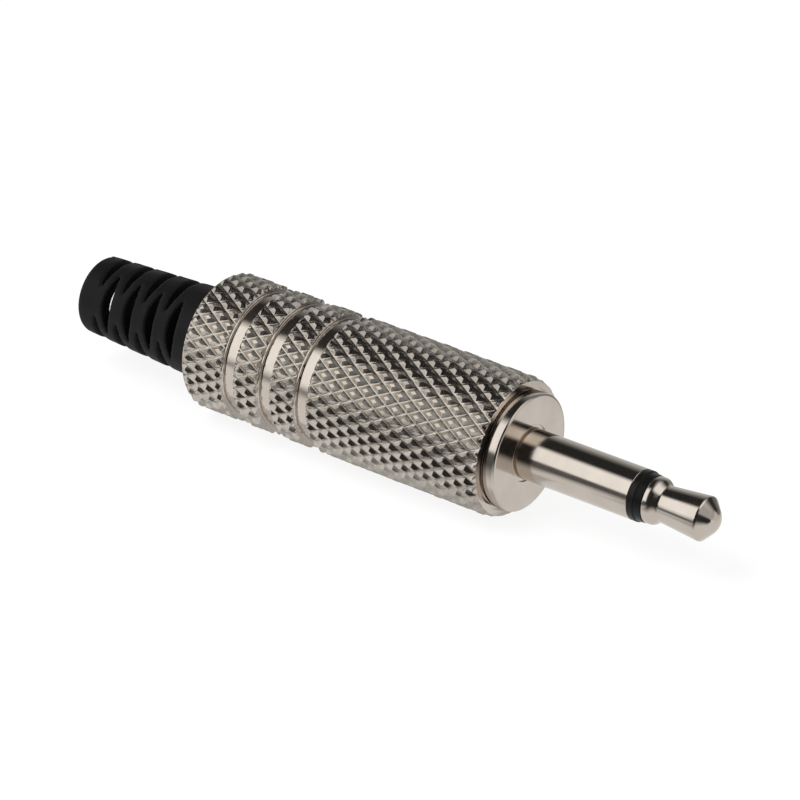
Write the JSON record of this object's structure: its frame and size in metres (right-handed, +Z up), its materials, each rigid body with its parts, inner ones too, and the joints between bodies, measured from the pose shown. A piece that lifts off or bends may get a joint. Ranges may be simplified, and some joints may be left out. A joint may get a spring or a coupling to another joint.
{
  "type": "mono jack plug",
  "caption": "Straight two-contact audio plug with a knurled metal screw-on barrel, a pointed tip behind a black insulating ring, and a slotted flexible strain relief.",
  "frame": {"origin": "centre of the shoulder's front face, on the plug's axis", "axes": "+X along the plug's axis towards its tip, +Z up, with the ground lug's arm below the axis"},
  "size_m": [0.0515, 0.0098, 0.0098],
  "materials": {
    "nickel": "bright nickel plate over brass",
    "black_plastic": "satin moulded plastic",
    "flexible_black": "soft satin moulding",
    "brass": "stamped sheet",
    "brown_board": "turned laminate",
    "clear_plastic": "milky extruded tube"
  },
  "bodies": {
    "plug": {"plug_body": "nickel", "front_insulator": "black_plastic", "tip_contact": "nickel", "rear_insulator": "brown_board", "tip_lug": "brass", "ground_lug": "nickel"},
    "relief": {"strain_relief": "flexible_black", "insulating_tube": "clear_plastic"},
    "barrel": {"barrel": "nickel"}
  },
  "joints": [
    {"name": "barrel_travel", "type": "slide", "parent": "plug", "child": "relief", "axis": [-1, 0, 0], "range_m": [0, 0.004]},
    {"name": "barrel_turn", "type": "hinge", "parent": "relief", "child": "barrel", "pos_m": [0, 0, 0], "axis": [-1, 0, 0], "range_deg": [0, 2880]}
  ],
  "couplings": [
    {"joint": "barrel_travel", "follows": "barrel_turn", "m_per_rad": 0.000079577}
  ]
}
